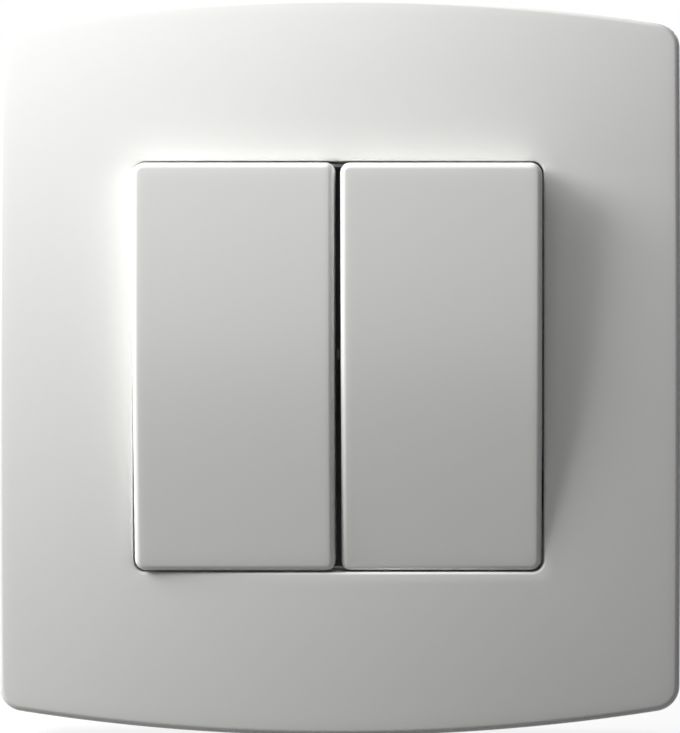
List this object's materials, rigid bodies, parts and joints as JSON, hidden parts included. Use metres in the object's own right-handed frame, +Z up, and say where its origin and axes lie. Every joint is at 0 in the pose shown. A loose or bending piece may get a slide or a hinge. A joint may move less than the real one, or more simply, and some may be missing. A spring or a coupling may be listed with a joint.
{
  "type": "double light switch",
  "caption": "Flush wall switch with two tall rockers side by side in an arched cover frame, on a steel support ring with claws.",
  "frame": {"origin": "midway between the two box screw slots, on the wall plane at the back of the support ring", "axes": "+X to the right, +Y into the wall, +Z up; the rockers face -Y"},
  "size_m": [0.0844, 0.0354, 0.0914],
  "materials": {
    "white_plastic": "moulded, satin gloss",
    "grey_plastic": "moulded, matt",
    "housing_plastic": "moulded, matt",
    "lever_plastic": "moulded, matt",
    "zinc_steel": "zinc plated",
    "spring_steel": "bright",
    "brass": "stamped, bright",
    "silver": "satin silver alloy"
  },
  "bodies": {
    "housing": {"cover_frame": "white_plastic", "mechanism_cover": "grey_plastic", "switch_base": "housing_plastic", "rear_cover": "housing_plastic", "support_ring": "zinc_steel", "housing_rivets": "zinc_steel", "common_bar": "brass", "left_fixed_contact": "brass", "right_fixed_contact": "brass", "left_fixed_tip": "silver", "right_fixed_tip": "silver", "left_clamp_spring": "spring_steel", "right_clamp_spring": "spring_steel", "common_clamp_spring": "spring_steel"},
    "left_rocker": {"left_rocker": "white_plastic", "left_actuator": "lever_plastic", "left_plunger_spring": "spring_steel"},
    "left_plunger": {"left_plunger": "lever_plastic"},
    "left_seesaw": {"left_seesaw": "brass", "left_moving_tip": "silver"},
    "left_claw": {"left_claw": "zinc_steel"},
    "left_claw_screw": {"left_claw_screw": "zinc_steel"},
    "left_claw_nut": {"left_claw_nut": "zinc_steel"},
    "right_rocker": {"right_rocker": "white_plastic", "right_actuator": "lever_plastic", "right_plunger_spring": "spring_steel"},
    "right_plunger": {"right_plunger": "lever_plastic"},
    "right_seesaw": {"right_seesaw": "brass", "right_moving_tip": "silver"},
    "right_claw": {"right_claw": "zinc_steel"},
    "right_claw_screw": {"right_claw_screw": "zinc_steel"},
    "right_claw_nut": {"right_claw_nut": "zinc_steel"},
    "left_release_lever": {"left_release_lever": "lever_plastic"},
    "right_release_lever": {"right_release_lever": "lever_plastic"},
    "common_release_lever": {"common_release_lever": "lever_plastic"}
  },
  "joints": [
    {"name": "left_rocker_tilt", "type": "hinge", "parent": "housing", "child": "left_rocker", "pos_m": [-0.0127, -0.007, 0], "axis": [1, 0, 0], "range_deg": [-7.5, 0]},
    {"name": "left_plunger_slide", "type": "slide", "parent": "left_rocker", "child": "left_plunger", "axis": [0, -0.9985, -0.0541], "range_m": [0, 0.0008], "stiffness_N_per_m": 1500, "springref_m": -0.0015, "deforming": ["left_plunger_spring"]},
    {"name": "left_contact_tilt", "type": "hinge", "parent": "housing", "child": "left_seesaw", "pos_m": [-0.0127, 0.007, 0], "axis": [1, 0, 0], "range_deg": [0, 14]},
    {"name": "left_claw_screw_turn", "type": "hinge", "parent": "housing", "child": "left_claw_screw", "pos_m": [-0.0265, 0, 0], "axis": [0, 1, 0], "range_deg": [0, 1200]},
    {"name": "left_claw_swing", "type": "hinge", "parent": "housing", "child": "left_claw", "pos_m": [-0.023, 0.0034, 0], "axis": [0, 0, 1], "range_deg": [0, 25]},
    {"name": "left_claw_nut_slide", "type": "slide", "parent": "housing", "child": "left_claw_nut", "axis": [0, -1, 0], "range_m": [0, 0.0015]},
    {"name": "right_rocker_tilt", "type": "hinge", "parent": "housing", "child": "right_rocker", "pos_m": [0.0127, -0.007, 0], "axis": [1, 0, 0], "range_deg": [-8.8, 0]},
    {"name": "right_plunger_slide", "type": "slide", "parent": "right_rocker", "child": "right_plunger", "axis": [0, -0.9971, -0.0767], "range_m": [0, 0.0008], "stiffness_N_per_m": 1500, "springref_m": -0.0015, "deforming": ["right_plunger_spring"]},
    {"name": "right_contact_tilt", "type": "hinge", "parent": "housing", "child": "right_seesaw", "pos_m": [0.0127, 0.007, 0], "axis": [1, 0, 0], "range_deg": [0, 14]},
    {"name": "right_claw_screw_turn", "type": "hinge", "parent": "housing", "child": "right_claw_screw", "pos_m": [0.0265, 0, 0], "axis": [0, 1, 0], "range_deg": [0, 1200]},
    {"name": "right_claw_swing", "type": "hinge", "parent": "housing", "child": "right_claw", "pos_m": [0.023, 0.0034, 0], "axis": [0, 0, 1], "range_deg": [-25, 0]},
    {"name": "right_claw_nut_slide", "type": "slide", "parent": "housing", "child": "right_claw_nut", "axis": [0, -1, 0], "range_m": [0, 0.0015]},
    {"name": "left_release_push", "type": "slide", "parent": "housing", "child": "left_release_lever", "axis": [0, -1, 0], "range_m": [0, 0.0012], "stiffness_N_per_m": 2500, "springref_m": -0.0006, "deforming": ["left_clamp_spring"]},
    {"name": "right_release_push", "type": "slide", "parent": "housing", "child": "right_release_lever", "axis": [0, -1, 0], "range_m": [0, 0.0012], "stiffness_N_per_m": 2500, "springref_m": -0.0006, "deforming": ["right_clamp_spring"]},
    {"name": "common_release_push", "type": "slide", "parent": "housing", "child": "common_release_lever", "axis": [0, -1, 0], "range_m": [0, 0.0012], "stiffness_N_per_m": 2500, "springref_m": -0.0006, "deforming": ["common_clamp_spring"]}
  ],
  "couplings": [
    {"joint": "left_contact_tilt", "follows": "left_rocker_tilt", "ratio": -1.8667},
    {"joint": "left_claw_swing", "follows": "left_claw_nut_slide", "rad_per_m": 290.88},
    {"joint": "left_claw_screw_turn", "follows": "left_claw_nut_slide", "rad_per_m": 13963},
    {"joint": "right_contact_tilt", "follows": "right_rocker_tilt", "ratio": -1.5909},
    {"joint": "right_claw_swing", "follows": "right_claw_nut_slide", "rad_per_m": -290.88},
    {"joint": "right_claw_screw_turn", "follows": "right_claw_nut_slide", "rad_per_m": 13963}
  ]
}
